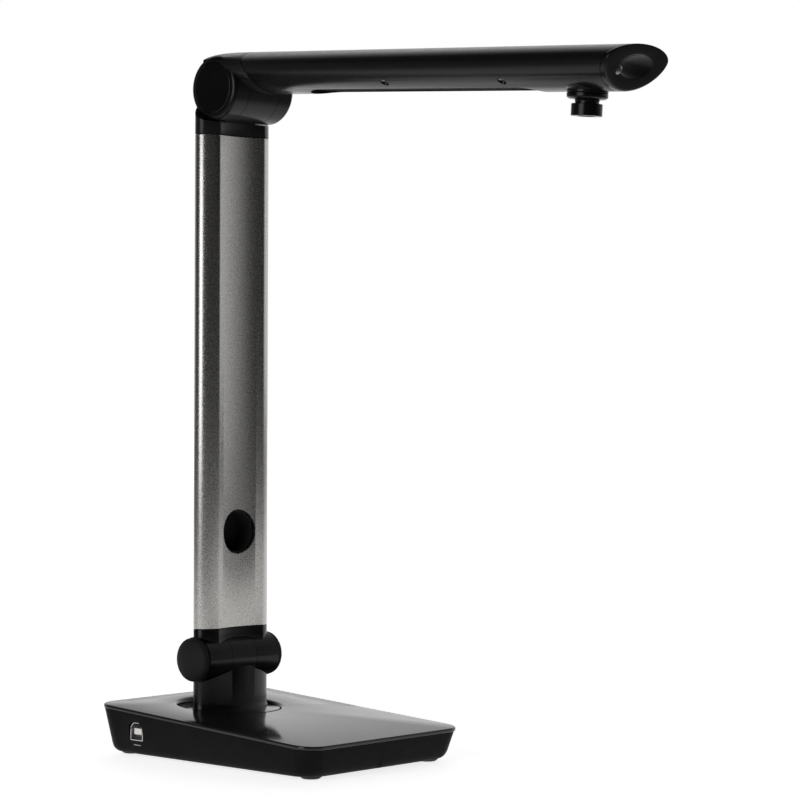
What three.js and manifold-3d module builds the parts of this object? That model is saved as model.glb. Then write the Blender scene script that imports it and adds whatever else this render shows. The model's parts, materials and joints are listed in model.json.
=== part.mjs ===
// Folding document camera: weighted base with a swivel, hinged column and a hinged arm with the camera.
// Millimetres, +Z up, +X is the way the arm points, Y is the width. The device stands on Z = 0.
import * as THREE from 'three';
import { mergeVertices } from 'three/addons/utils/BufferGeometryUtils.js';
import Module from 'manifold-3d';

const wasm = await Module();
wasm.setup();

// ---------- Driving dimensions ----------
const GAP = 0.3;                       // clearance between neighbouring pieces
const CENTRE_SHIFT = -110.61;          // upper hinge axis, measured from the middle of the overall length

const BASE = {
  rear: -51.6, front: 109.1, halfWidth: 58.7, corner: 11,
  topAtAxis: 24.26, slope: 0.0584,     // the top falls towards the front
  bottom: 1.5, draft: 4, wall: 2.2, plate: 2,
};
const FEET = { radius: 5.8, top: 1.7, x: [-38.5, 96], y: 44 };
const BASE_SCREWS = { x: [-41, 92], y: [24, 36], head: 2.6, shank: 1.25, boss: 3.6 };
const COVER = { z0: 2, z1: 4, inset: 6.6 };
const BALLAST = { x0: 14, x1: 80, halfWidth: 48, z0: COVER.z1 + GAP, thickness: 7 };
const USB = { x: -21.5, z: 14, width: 9.6, height: 9.6, bevel: 2.2, wall: 0.5, front: -56.2, depth: 12 };
const BOARD = { x0: -37, x1: -5, y0: -52.5, y1: -21, z0: 6.9, z1: 8.4 };

const SWIVEL = { x: -9, disc: 27.6, top: 23, thickness: 3, well: 28, floor: 18.6, hub: 12, hubBore: 8 };

const COLUMN = {
  x: -8.2, halfDepth: 10.8, halfWidth: 25.6,   // an oval, cut away in front by the channel
  wall: 1.8, channelRadius: 49, channelDepth: 2.9, z0: 67.4, z1: 332.4,
};
const SPIGOT = { wall: 2, length: 12 };
const NEST = { z: 118.9, hole: 12, outer: 11.7, inner: 10.9, back: -15.6, floor: -14.3, front: -3.4 };

const LOWER_HINGE = {
  x: -8.7, z: 51, barrel: 12.1, tongue: 9, lobe: 25.6, shaft: 3, shaftEnd: 24, cap: 11.7, capEnd: 31.5,
};
const UPPER_HINGE = {
  z: 357, barrel: 17.1, tongue: 11, lobe: 20, shaft: 3.5, shaftEnd: 19.5, disc: 13.6, discEnd: 22.95,
};
const END_RING = { reach: 22.5, chamfer: 2.1 };        // the chamfered rims round the upper hinge discs
const WASHER = { radius: 7.2, thickness: 1.4 };
const TOP_CAP = { top: 350, saddle: 17.7 };
const CABLE_WAY = { halfDepth: 5, halfWidth: 6, roof: 42 };
const BORE_REACH = 40;                 // cutting rods along a hinge run out past every piece

const ARM = {
  droop: THREE.MathUtils.degToRad(3.37),
  halfWidth: 23.1, waist: 12.5, crown: 7.9, belly: 14.4, bellyPower: 1.85,
  wall: 1.8, seam: 5.2, root: 24.8,
  endX: 265.8, endZ: 9.2, endSlope: 0.56, endCap: 3,
};
const STRIP = { x0: 54, x1: 212, halfWidth: 9, z0: 0, z1: 1.4 };        // sunk below the underside
const ARM_SCREWS = { x: [118, 196], y: 15, head: 2, shank: 1.1, boss: 3.2, headZ: 2.7, seatZ: 3.3, tipZ: 9 };
const DISH = { length: 12, width: 6.5, depth: 1.7 };
const STATUS_LIGHT = { y: -10.6, along: -3.8, radius: 2.6 };

const HEAD = {
  x: 237.8, ring: 10.1, neck: 5.9, bore: 3.6, stem: 8, flange: 10.5,
  collarEnd: -2.5, ringEnd: -5.5, neckEnd: -12.4, stemTop: 6,
};
const FOCUS = { radius: 7.65, inner: 6.2, lip: 4.3, z0: -13.7, z1: -7.9, lipThickness: 0.9 };
const SENSOR = { x0: 224, x1: 252, halfWidth: 12, z0: 8.6, z1: 10 };

// ---------- Solids ----------
function toSolid(geometry) {
  const bare = new THREE.BufferGeometry();
  bare.setAttribute('position', geometry.getAttribute('position'));
  bare.setIndex(geometry.getIndex());
  const merged = mergeVertices(bare, 1e-4);
  return new wasm.Manifold(new wasm.Mesh({
    numProp: 3,
    vertProperties: Float32Array.from(merged.getAttribute('position').array),
    triVerts: Uint32Array.from(merged.getIndex().array),
  }));
}

function toGeometry(solid) {
  const { vertProperties, triVerts } = solid.getMesh();
  const geometry = new THREE.BufferGeometry();
  geometry.setAttribute('position', new THREE.BufferAttribute(vertProperties, 3));
  geometry.setIndex(new THREE.BufferAttribute(triVerts, 1));
  geometry.computeVertexNormals();
  return geometry;
}

const join = (...solids) => solids.reduce((sum, next) => sum.add(next));
const cut = (body, ...tools) => tools.reduce((rest, tool) => rest.subtract(tool), body);

function block(x0, x1, y0, y1, z0, z1) {
  const geometry = new THREE.BoxGeometry(x1 - x0, y1 - y0, z1 - z0);
  return toSolid(geometry.translate((x0 + x1) / 2, (y0 + y1) / 2, (z0 + z1) / 2));
}

function rodZ(radius, z0, z1, x = 0, y = 0, sides = 24) {
  const geometry = new THREE.CylinderGeometry(radius, radius, z1 - z0, sides);
  return toSolid(geometry.rotateX(Math.PI / 2).translate(x, y, (z0 + z1) / 2));
}

function rodY(radius, y0, y1, x = 0, z = 0, sides = 30) {
  const geometry = new THREE.CylinderGeometry(radius, radius, y1 - y0, sides);
  return toSolid(geometry.translate(x, (y0 + y1) / 2, z));
}

function rodX(radius, x0, x1, y = 0, z = 0, sides = 28) {
  const geometry = new THREE.CylinderGeometry(radius, radius, x1 - x0, sides);
  return toSolid(geometry.rotateZ(Math.PI / 2).translate((x0 + x1) / 2, y, z));
}

// A rod on each side of the middle, from one distance to another along Y.
const rodPair = (radius, near, far, x, z, sides) => [
  rodY(radius, near, far, x, z, sides),
  rodY(radius, -far, -near, x, z, sides),
];

const ringZ = (outer, inner, z0, z1, x = 0, y = 0) =>
  rodZ(outer, z0, z1, x, y).subtract(rodZ(inner, z0 - 1, z1 + 1, x, y));

// An outline in X and Y, raised from z0 to z1.
function prismZ(shape, z0, z1, curveSegments = 3) {
  const geometry = new THREE.ExtrudeGeometry(shape, { depth: z1 - z0, bevelEnabled: false, curveSegments });
  return toSolid(geometry.translate(0, 0, z0));
}

// An outline in Y and Z, drawn out from x0 to x1.
function prismX(shape, x0, x1, curveSegments = 3) {
  const geometry = new THREE.ExtrudeGeometry(shape, { depth: x1 - x0, bevelEnabled: false, curveSegments });
  const axes = new THREE.Matrix4().makeBasis(
    new THREE.Vector3(0, 1, 0), new THREE.Vector3(0, 0, 1), new THREE.Vector3(1, 0, 0));
  return toSolid(geometry.applyMatrix4(axes).translate(x0, 0, 0));
}

// An outline in X and Z, drawn out over the width from -halfWidth to halfWidth.
function prismY(shape, halfWidth, curveSegments = 5) {
  const options = { depth: 2 * halfWidth, bevelEnabled: false, curveSegments };
  const geometry = new THREE.ExtrudeGeometry(shape, options);
  return toSolid(geometry.rotateX(Math.PI / 2).translate(0, halfWidth, 0));
}

function mesh(name, solid, finish) {
  const piece = new THREE.Mesh(toGeometry(solid), new THREE.MeshStandardMaterial(finish));
  piece.name = name;
  return piece;
}

// ---------- Finishes ----------
const SATIN_BLACK = { color: 0x131314, roughness: 0.42, metalness: 0 };
const GLOSS_BLACK = { color: 0x1b1b1d, roughness: 0.22, metalness: 0 };
const SOFT_BLACK = { color: 0x1f1e1f, roughness: 0.7, metalness: 0 };
const SILVER = { color: 0x8d8c8a, roughness: 0.45, metalness: 1 };
const STEEL = { color: 0x9a9a9c, roughness: 0.35, metalness: 1 };
const DARK_STEEL = { color: 0x3a3a3c, roughness: 0.5, metalness: 1 };
const RUBBER = { color: 0x171717, roughness: 0.9, metalness: 0 };
const NYLON = { color: 0xe4e2dc, roughness: 0.5, metalness: 0 };
const BOARD_GREEN = { color: 0x1f4d34, roughness: 0.5, metalness: 0 };
const GLASS = { color: 0x20242c, roughness: 0.05, metalness: 0 };
const LIGHT = { color: 0xe8ecef, roughness: 0.2, metalness: 0 };

// ---------- Base ----------
const topOfBase = (x) => BASE.topAtAxis - BASE.slope * x;

function roundedRectangle(x0, x1, halfWidth, radius) {
  const shape = new THREE.Shape();
  shape.absarc(x1 - radius, halfWidth - radius, radius, 0, Math.PI / 2, false);
  shape.absarc(x0 + radius, halfWidth - radius, radius, Math.PI / 2, Math.PI, false);
  shape.absarc(x0 + radius, radius - halfWidth, radius, Math.PI, 1.5 * Math.PI, false);
  shape.absarc(x1 - radius, radius - halfWidth, radius, 1.5 * Math.PI, 2 * Math.PI, false);
  return shape;
}

// The base outline, flat at the bottom and sloped at the top, with walls that lean in on the way down.
function baseBlock(insetTop, insetBottom, zBottom, below) {
  const outline = roundedRectangle(BASE.rear, BASE.front, BASE.halfWidth, BASE.corner);
  const geometry = new THREE.ExtrudeGeometry(outline, { depth: 1, bevelEnabled: false, curveSegments: 3 });
  const middle = (BASE.rear + BASE.front) / 2;
  const place = geometry.getAttribute('position');
  for (let i = 0; i < place.count; i += 1) {
    const isTop = place.getZ(i) > 0.5;
    const inset = isTop ? insetTop : insetBottom;
    const x = place.getX(i) - Math.sign(place.getX(i) - middle) * inset;
    const y = place.getY(i) - Math.sign(place.getY(i)) * inset;
    place.setXYZ(i, x, y, isTop ? topOfBase(x) - below : zBottom);
  }
  return toSolid(geometry);
}

// The mouth of the square data socket, with its two upper corners cut off.
function socketOutline(grow) {
  const w = USB.width / 2 + grow;
  const h = USB.height / 2 + grow;
  const b = USB.bevel + grow * 0.4;
  const shape = new THREE.Shape();
  shape.moveTo(USB.x - w, USB.z - h);
  shape.lineTo(USB.x + w, USB.z - h);
  shape.lineTo(USB.x + w, USB.z + h - b);
  shape.lineTo(USB.x + w - b, USB.z + h);
  shape.lineTo(USB.x - w + b, USB.z + h);
  shape.lineTo(USB.x - w, USB.z + h - b);
  return shape;
}

function alongY(shape, y0, y1) {
  const geometry = new THREE.ExtrudeGeometry(shape, { depth: y1 - y0, bevelEnabled: false });
  return toSolid(geometry.rotateX(Math.PI / 2).translate(0, y1, 0));
}

function baseHousing() {
  const outer = baseBlock(0.1, BASE.draft, BASE.bottom, BASE.plate + GAP);
  const hollow = baseBlock(BASE.wall, BASE.draft + BASE.wall, 0, -5);
  return cut(outer, hollow, alongY(socketOutline(GAP), -70, -45));
}

const baseScrewPlaces = BASE_SCREWS.x.flatMap((x, i) =>
  [1, -1].map((side) => ({ x, y: side * BASE_SCREWS.y[i] })));

// The sloped lid, with the well that the turntable sits in and the four posts that the bottom screws into.
function baseTopPlate() {
  const underTop = baseBlock(0, 0, 0, 0);
  const lid = cut(underTop, baseBlock(-5, -5, -5, BASE.plate));
  const skirt = rodZ(SWIVEL.well + 2.6, SWIVEL.floor - 2, 40, SWIVEL.x, 0, 36).intersect(underTop);
  const posts = baseScrewPlaces.map(({ x, y }) =>
    rodZ(BASE_SCREWS.boss, COVER.z1 + GAP, topOfBase(x) - 1, x, y, 12));
  const holes = baseScrewPlaces.map(({ x, y }) => rodZ(BASE_SCREWS.shank + GAP, 3, 13, x, y, 10));
  const well = rodZ(SWIVEL.well, SWIVEL.floor, 40, SWIVEL.x, 0, 36);
  const bore = rodZ(SWIVEL.hub + 0.4, 0, 40, SWIVEL.x);
  return cut(join(lid, skirt, ...posts), well, bore, ...holes);
}

function baseBottomCover() {
  const { rear, front, halfWidth } = BASE;
  const inset = COVER.inset;
  const outline = roundedRectangle(rear + inset, front - inset, halfWidth - inset, BASE.corner);
  const holes = baseScrewPlaces.flatMap(({ x, y }) => [
    rodZ(BASE_SCREWS.shank + GAP, 0, 6, x, y, 10),
    rodZ(BASE_SCREWS.head + GAP, 0, COVER.z0 + 1.2, x, y, 12),
  ]);
  return cut(prismZ(outline, COVER.z0, COVER.z1), ...holes);
}

function bottomScrew({ x, y }) {
  const head = rodZ(BASE_SCREWS.head, COVER.z0 + 0.1, COVER.z0 + 0.9, x, y, 12);
  return head.add(rodZ(BASE_SCREWS.shank, COVER.z0 + 0.5, 12, x, y, 10));
}

function ballastPlate() {
  const { x0, x1, halfWidth, z0, thickness } = BALLAST;
  return block(x0, x1, -halfWidth, halfWidth, z0, z0 + thickness);
}

function foot(x, y) {
  const { radius, top } = FEET;
  const profile = [[0, 0], [radius - 0.6, 0], [radius, 0.6], [radius, top], [0, top]];
  const geometry = new THREE.LatheGeometry(profile.map(([r, z]) => new THREE.Vector2(r, z)), 16);
  return toSolid(geometry.rotateX(Math.PI / 2).translate(x, y, 0));
}

function socketShell() {
  const outer = alongY(socketOutline(0), USB.front, USB.front + USB.depth);
  return outer.subtract(alongY(socketOutline(-USB.wall), USB.front - 1, USB.front + USB.depth + 1));
}

function socketTongue() {
  const back = USB.front + USB.depth;
  const reach = USB.width / 2 - USB.wall - GAP - 1;
  const rearBlock = block(USB.x - reach, USB.x + reach, back - 2.5, back, USB.z - 3.6, USB.z + 2.4);
  return rearBlock.add(block(USB.x - 2.8, USB.x + 2.8, USB.front + 1, back - 2, USB.z - 1.6, USB.z + 1.6));
}

// ---------- Turntable and post ----------
function swivelDisc() {
  const disc = rodZ(SWIVEL.disc, SWIVEL.top - SWIVEL.thickness, SWIVEL.top, SWIVEL.x, 0, 36);
  const hub = rodZ(SWIVEL.hub, 13.5, SWIVEL.top - 1, SWIVEL.x);
  return disc.add(hub).subtract(rodZ(SWIVEL.hubBore, 0, 40, SWIVEL.x));
}

// The oval section of the post and the column.
function ovalPost(inset, z0, z1) {
  const steps = 40;
  const points = [];
  for (let i = 0; i < steps; i += 1) {
    const angle = (i / steps) * 2 * Math.PI;
    const across = (COLUMN.halfDepth - inset) * Math.cos(angle);
    points.push(new THREE.Vector2(COLUMN.x + across, (COLUMN.halfWidth - inset) * Math.sin(angle)));
  }
  return prismZ(new THREE.Shape(points), z0, z1);
}

// The post carries the tongue of the lower hinge between two saddles for the collar's barrel ends.
function footPost() {
  const { x, z, barrel, tongue, shaft } = LOWER_HINGE;
  const { halfDepth, halfWidth, roof } = CABLE_WAY;
  const saddles = rodPair(barrel + GAP, tongue, BORE_REACH, x, z);
  const body = cut(ovalPost(0, SWIVEL.top + GAP, z), ...saddles);
  const bore = rodY(shaft + GAP, -BORE_REACH, BORE_REACH, x, z, 16);
  const cableWay = block(x - halfDepth, x + halfDepth, -halfWidth, halfWidth, 0, roof);
  return cut(join(body, rodY(barrel, -tongue, tongue, x, z)), bore, cableWay);
}

// ---------- Column ----------
// The oval with its shallow concave channel in front, which leaves a rim on each side.
function columnSection(inset, z0, z1) {
  const { channelRadius, channelDepth } = COLUMN;
  const channel = rodZ(channelRadius + inset, z0 - 1, z1 + 1, channelRadius - channelDepth, 0, 120);
  return ovalPost(inset, z0, z1).subtract(channel);
}

function columnExtrusion() {
  const outer = columnSection(0, COLUMN.z0, COLUMN.z1);
  const hollow = columnSection(COLUMN.wall, COLUMN.z0 - 1, COLUMN.z1 + 1);
  return cut(outer, hollow, rodX(NEST.hole, -10, 10, 0, NEST.z));
}

function headNestCup() {
  const cup = rodX(NEST.outer, NEST.back, NEST.front, 0, NEST.z);
  return cup.subtract(rodX(NEST.inner, NEST.floor, 5, 0, NEST.z));
}

// Two barrel ends on the hinge axis, either side of the tongue.
const lobes = ({ x = 0, barrel, tongue, lobe }, z) => rodPair(barrel, tongue + GAP, lobe, x, z);

// The room that the friction washers need beside the tongue.
function washerPockets({ x = 0, tongue }, z) {
  return rodPair(WASHER.radius + GAP, tongue, tongue + 2 * GAP + WASHER.thickness, x, z, 20);
}

function washer(hinge, side, z) {
  const { x = 0, tongue, shaft } = hinge;
  const inner = tongue + GAP;
  const ends = [side * inner, side * (inner + WASHER.thickness)].sort((a, b) => a - b);
  const bore = rodY(shaft + GAP, -BORE_REACH, BORE_REACH, x, z, 16);
  return rodY(WASHER.radius, ends[0], ends[1], x, z, 20).subtract(bore);
}

// The hollow plug that a collar or cap pushes into the end of the column.
function columnSpigot(z0, z1) {
  const outside = COLUMN.wall + GAP;
  return columnSection(outside, z0, z1).subtract(columnSection(outside + SPIGOT.wall, z0 - 1, z1 + 1));
}

function lowerCollar() {
  const { x, z, barrel, tongue, shaft } = LOWER_HINGE;
  const body = columnSection(0, z, COLUMN.z0 - GAP);
  const slot = rodY(barrel + GAP, -tongue - GAP, tongue + GAP, x, z);
  const spigot = columnSpigot(COLUMN.z0 - 1, COLUMN.z0 + SPIGOT.length);
  const bore = rodY(shaft + GAP, -BORE_REACH, BORE_REACH, x, z, 16);
  return cut(join(body, ...lobes(LOWER_HINGE, z), spigot), slot, bore, ...washerPockets(LOWER_HINGE, z));
}

function lowerHingeCap(side) {
  const { x, z, lobe, cap, capEnd } = LOWER_HINGE;
  const start = lobe + GAP;
  const shoulder = start + 1.6;
  const profile = [new THREE.Vector2(0, start), new THREE.Vector2(cap, start)];
  const steps = 5;
  for (let i = 0; i < steps; i += 1) {
    const angle = (i / steps) * (Math.PI / 2);
    profile.push(new THREE.Vector2(cap * Math.cos(angle), shoulder + (capEnd - shoulder) * Math.sin(angle)));
  }
  profile.push(new THREE.Vector2(0, capEnd));
  const geometry = new THREE.LatheGeometry(profile, 24);
  return toSolid((side > 0 ? geometry : geometry.rotateX(Math.PI)).translate(x, 0, z));
}

// The tongue of the upper hinge stands between two saddles for the arm's barrel ends.
function topCap() {
  const { z, barrel, tongue, shaft } = UPPER_HINGE;
  const saddles = rodPair(TOP_CAP.saddle, tongue, BORE_REACH, 0, z, 48);
  const body = cut(columnSection(0, COLUMN.z1 + GAP, TOP_CAP.top), ...saddles);
  const spigot = columnSpigot(COLUMN.z1 - SPIGOT.length, COLUMN.z1 + 1);
  const bore = rodY(shaft + GAP, -BORE_REACH, BORE_REACH, 0, z, 16);
  return cut(join(body, rodY(barrel, -tongue, tongue, 0, z), spigot), bore);
}

// ---------- Arm, drawn along +X from the hinge axis ----------
function armOutline(inset) {
  const halfWidth = ARM.halfWidth - inset;
  const points = [];
  const steps = 30;
  for (let i = 0; i < steps; i += 1) {
    const angle = (i / steps) * 2 * Math.PI;
    const y = Math.cos(angle);
    const above = Math.sin(angle) >= 0;
    const height = above
      ? (ARM.crown - inset) * Math.sin(angle)
      : -(ARM.belly - inset) * (1 - Math.abs(y) ** ARM.bellyPower) ** (1 / ARM.bellyPower);
    points.push(new THREE.Vector2(halfWidth * y, ARM.waist + height));
  }
  return new THREE.Shape(points);
}

// Everything beyond the slanted end face, moved back by the given distance along the face's normal.
function beyondEnd(back) {
  const geometry = new THREE.BoxGeometry(80, 100, 140).translate(40 - back, 0, 0);
  geometry.rotateY(Math.atan(ARM.endSlope)).translate(ARM.endX, 0, ARM.endZ);
  return toSolid(geometry);
}

function armTube() {
  const outer = prismX(armOutline(0), 0, 290);
  const hollow = prismX(armOutline(ARM.wall), -5, 300);
  return cut(outer, hollow, rodY(ARM.root + GAP, -30, 30, 0, 0, 60), beyondEnd(ARM.endCap + GAP));
}

const armScrewPlaces = ARM_SCREWS.x.flatMap((x) => [1, -1].map((side) => ({ x, y: side * ARM_SCREWS.y })));

function armUpperShell() {
  const inside = prismX(armOutline(ARM.wall - 0.6), 20, 240);
  const bosses = armScrewPlaces.map(({ x, y }) =>
    rodZ(ARM_SCREWS.boss, ARM.seam + GAP, 24, x, y, 10).intersect(inside));
  const holes = armScrewPlaces.map(({ x, y }) => rodZ(ARM_SCREWS.shank + GAP, 0, 10, x, y, 12));
  const shell = cut(armTube(), block(-10, 300, -40, 40, -20, ARM.seam + GAP / 2));
  return cut(join(shell, ...bosses), ...holes);
}

function stripOutline(grow) {
  const { x0, x1, halfWidth } = STRIP;
  const shape = new THREE.Shape();
  shape.absellipse(x1 - 12, 0, 12 + grow, halfWidth + grow, -Math.PI / 2, Math.PI / 2, false);
  shape.absellipse(x0 + 12, 0, 12 + grow, halfWidth + grow, Math.PI / 2, 1.5 * Math.PI, false);
  return shape;
}

function armLowerCover() {
  const belly = cut(armTube(), block(-10, 300, -40, 40, ARM.seam - GAP / 2, 40));
  const underside = prismX(armOutline(0.6), 20, 260);
  const cups = armScrewPlaces.map(({ x, y }) =>
    rodZ(ARM_SCREWS.boss, -4, 4.9, x, y, 10).intersect(underside));
  const collar = rodZ(HEAD.ring, HEAD.collarEnd, 1, HEAD.x);
  const tools = armScrewPlaces.flatMap(({ x, y }) => [
    rodZ(ARM_SCREWS.head + GAP, -6, ARM_SCREWS.seatZ + GAP, x, y, 12),
    rodZ(ARM_SCREWS.shank + GAP, -6, 8, x, y, 12),
  ]);
  const headHole = rodZ(HEAD.stem + GAP, -10, 12, HEAD.x);
  return cut(join(belly, ...cups, collar), ...tools, headHole, prismZ(stripOutline(GAP), -10, 4));
}

function armScrew({ x, y }) {
  const head = rodZ(ARM_SCREWS.head, ARM_SCREWS.headZ, ARM_SCREWS.seatZ, x, y, 12);
  return head.add(rodZ(ARM_SCREWS.shank, ARM_SCREWS.headZ + 0.2, ARM_SCREWS.tipZ, x, y, 12));
}

// The side view of the knuckle: an arc where the shells begin, a flat top and a back that meets the barrel.
function knuckleSide() {
  const top = ARM.waist + ARM.crown;
  const start = -Math.asin(3 / ARM.root);
  const end = Math.asin(top / ARM.root);
  const shape = new THREE.Shape();
  shape.moveTo(0, -3);
  shape.absarc(0, 0, ARM.root, start, end, false);
  shape.bezierCurveTo(4, 19.9, -3, 19.6, -8.6, 14.8);
  shape.lineTo(0, 0);
  return shape;
}

function endRing(side) {
  const { barrel, disc, lobe } = UPPER_HINGE;
  const { reach, chamfer } = END_RING;
  const bore = disc + GAP;
  const profile = [
    [bore, lobe - 0.5], [barrel, lobe - 0.5], [barrel, lobe], [barrel - chamfer / 3, reach - chamfer / 3],
    [barrel - chamfer, reach], [bore, reach], [bore, lobe - 0.5],
  ];
  const geometry = new THREE.LatheGeometry(profile.map(([r, y]) => new THREE.Vector2(r, y)), 30);
  return toSolid(side > 0 ? geometry : geometry.rotateX(Math.PI));
}

function armKnuckle() {
  const { barrel, tongue, lobe, shaft, disc } = UPPER_HINGE;
  const hood = prismX(armOutline(0), -20, 30).intersect(prismY(knuckleSide(), BORE_REACH));
  const tenon = prismX(armOutline(ARM.wall + GAP), 18, 44).subtract(prismX(armOutline(4.6), 28, 60));
  const discSeats = rodPair(disc + GAP, lobe, BORE_REACH, 0, 0);
  const slot = rodY(barrel + GAP, -tongue - GAP, tongue + GAP, 0, 0, 36);
  const bore = rodY(shaft + GAP, -BORE_REACH, BORE_REACH, 0, 0, 16);
  const pockets = washerPockets(UPPER_HINGE, 0);
  const barrelEnds = [...lobes(UPPER_HINGE, 0), endRing(1), endRing(-1)];
  return cut(join(hood, tenon, ...barrelEnds), slot, bore, ...discSeats, ...pockets);
}

function hingeDisc(side) {
  const { lobe, disc, discEnd } = UPPER_HINGE;
  const chamfer = 0.8;
  const profile = [[0, lobe + GAP], [disc, lobe + GAP], [disc, discEnd - chamfer], [disc - chamfer, discEnd],
    [0, discEnd]];
  const geometry = new THREE.LatheGeometry(profile.map(([r, y]) => new THREE.Vector2(r, y)), 30);
  return toSolid(side > 0 ? geometry : geometry.rotateX(Math.PI));
}

function undersideStrip() {
  return prismZ(stripOutline(0), STRIP.z0, STRIP.z1);
}

// Places a solid, drawn about the origin with the face normal along +X, on the slanted end face.
function onEndFace(geometry, y, along) {
  geometry.translate(0, y, along).rotateY(Math.atan(ARM.endSlope));
  return toSolid(geometry.translate(ARM.endX, 0, ARM.endZ));
}

function endCap() {
  const slab = cut(prismX(armOutline(0), 240, 290), beyondEnd(0)).intersect(beyondEnd(ARM.endCap));
  const bowl = new THREE.SphereGeometry(1, 16, 8).scale(DISH.depth, DISH.length, DISH.width);
  const lightHole = new THREE.CylinderGeometry(1, 1, 12, 12).rotateZ(Math.PI / 2);
  lightHole.scale(1, STATUS_LIGHT.radius + GAP, STATUS_LIGHT.radius + GAP);
  return cut(slab, onEndFace(bowl, 0, 0), onEndFace(lightHole, STATUS_LIGHT.y, STATUS_LIGHT.along));
}

function statusLight() {
  const r = STATUS_LIGHT.radius;
  const dome = [[0, -4], [r, -4], [r, -0.9], [r * 0.7, -0.3], [0, 0]];
  const profile = dome.map(([a, b]) => new THREE.Vector2(a, b));
  const bead = new THREE.LatheGeometry(profile, 12).rotateZ(-Math.PI / 2);
  return onEndFace(bead, STATUS_LIGHT.y, STATUS_LIGHT.along);
}

// ---------- Camera head ----------
function headBarrel() {
  const { x, ring, neck, bore, stem, flange, collarEnd, ringEnd, neckEnd, stemTop } = HEAD;
  const solid = join(
    rodZ(ring, ringEnd, collarEnd - GAP, x),
    rodZ(neck, neckEnd, ringEnd + 1, x),
    rodZ(stem, collarEnd - 1, stemTop, x),
    rodZ(flange, 2.3, 3.6, x),
  );
  return cut(solid, rodZ(bore, neckEnd - 1, stemTop + 1, x, 0, 18));
}

function lensGlass() {
  const r = HEAD.bore - GAP;
  const z = HEAD.neckEnd;
  const profile = [[0, z + 0.2], [r * 0.6, z + 0.5], [r, z + 1.2], [r, z + 4], [0, z + 4]];
  const geometry = new THREE.LatheGeometry(profile.map(([a, b]) => new THREE.Vector2(a, b)), 18);
  return toSolid(geometry.rotateX(Math.PI / 2).translate(HEAD.x, 0, 0));
}

function focusRing() {
  const { radius, inner, lip, z0, z1, lipThickness } = FOCUS;
  const bore = rodZ(inner, z0 + lipThickness, z1 + 1, HEAD.x);
  return cut(rodZ(radius, z0, z1, HEAD.x), bore, rodZ(lip, z0 - 1, z1, HEAD.x, 0, 18));
}

// ---------- Assembly ----------
const SIDES = [['left', 1], ['right', -1]];
const device = new THREE.Group();
device.position.x = CENTRE_SHIFT;

const base = new THREE.Group();
base.add(mesh('base_housing', baseHousing(), SATIN_BLACK));
base.add(mesh('base_top_plate', baseTopPlate(), GLOSS_BLACK));
base.add(mesh('base_bottom_cover', baseBottomCover(), SATIN_BLACK));
base.add(mesh('ballast_plate', ballastPlate(), DARK_STEEL));
base.add(mesh('usb_socket_shell', socketShell(), STEEL));
base.add(mesh('usb_socket_tongue', socketTongue(), NYLON));
base.add(mesh('main_board', block(BOARD.x0, BOARD.x1, BOARD.y0, BOARD.y1, BOARD.z0, BOARD.z1), BOARD_GREEN));
const washerRing = ringZ(26, SWIVEL.hub + 1, SWIVEL.floor + GAP, SWIVEL.floor + 1.1, SWIVEL.x);
base.add(mesh('swivel_washer', washerRing, NYLON));
FEET.x.forEach((x, row) => SIDES.forEach(([name, side]) => {
  const end = row === 0 ? 'rear' : 'front';
  base.add(mesh(`foot_${end}_${name}`, foot(x, side * FEET.y), RUBBER));
}));
baseScrewPlaces.forEach((place, i) => {
  base.add(mesh(`bottom_screw_${i + 1}`, bottomScrew(place), DARK_STEEL));
});

const turntable = new THREE.Group();
turntable.add(mesh('swivel_disc', swivelDisc(), GLOSS_BLACK));
const retainer = ringZ(18, SWIVEL.hub + GAP, SWIVEL.floor - 4.4, SWIVEL.floor - 2.4, SWIVEL.x);
turntable.add(mesh('swivel_retainer', retainer, STEEL));
turntable.add(mesh('foot_post', footPost(), SATIN_BLACK));
const shaftOf = ({ x = 0, z, shaft, shaftEnd }) => rodY(shaft, -shaftEnd, shaftEnd, x, z, 16);
turntable.add(mesh('lower_hinge_shaft', shaftOf(LOWER_HINGE), STEEL));

const column = new THREE.Group();
column.add(mesh('column_extrusion', columnExtrusion(), SILVER));
column.add(mesh('lower_collar', lowerCollar(), SATIN_BLACK));
column.add(mesh('head_nest_cup', headNestCup(), SOFT_BLACK));
column.add(mesh('top_cap', topCap(), SATIN_BLACK));
column.add(mesh('upper_hinge_shaft', shaftOf(UPPER_HINGE), STEEL));
SIDES.forEach(([name, side]) => {
  column.add(mesh(`lower_hinge_washer_${name}`, washer(LOWER_HINGE, side, LOWER_HINGE.z), STEEL));
  column.add(mesh(`lower_hinge_cap_${name}`, lowerHingeCap(side), SOFT_BLACK));
});

const arm = new THREE.Group();
arm.position.z = UPPER_HINGE.z;
arm.rotation.y = ARM.droop;
arm.add(mesh('arm_knuckle', armKnuckle(), SATIN_BLACK));
arm.add(mesh('arm_upper_shell', armUpperShell(), SATIN_BLACK));
arm.add(mesh('arm_lower_cover', armLowerCover(), SATIN_BLACK));
arm.add(mesh('underside_strip', undersideStrip(), GLOSS_BLACK));
arm.add(mesh('end_cap', endCap(), SATIN_BLACK));
arm.add(mesh('status_light', statusLight(), LIGHT));
const sensorBoard = block(SENSOR.x0, SENSOR.x1, -SENSOR.halfWidth, SENSOR.halfWidth, SENSOR.z0, SENSOR.z1);
arm.add(mesh('sensor_board', sensorBoard, BOARD_GREEN));
SIDES.forEach(([name, side]) => {
  arm.add(mesh(`upper_hinge_disc_${name}`, hingeDisc(side), SATIN_BLACK));
  arm.add(mesh(`upper_hinge_washer_${name}`, washer(UPPER_HINGE, side, 0), STEEL));
});
armScrewPlaces.forEach((place, i) => arm.add(mesh(`arm_screw_${i + 1}`, armScrew(place), DARK_STEEL)));
arm.add(mesh('camera_head', headBarrel(), SATIN_BLACK));
arm.add(mesh('lens_glass', lensGlass(), GLASS));
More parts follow.
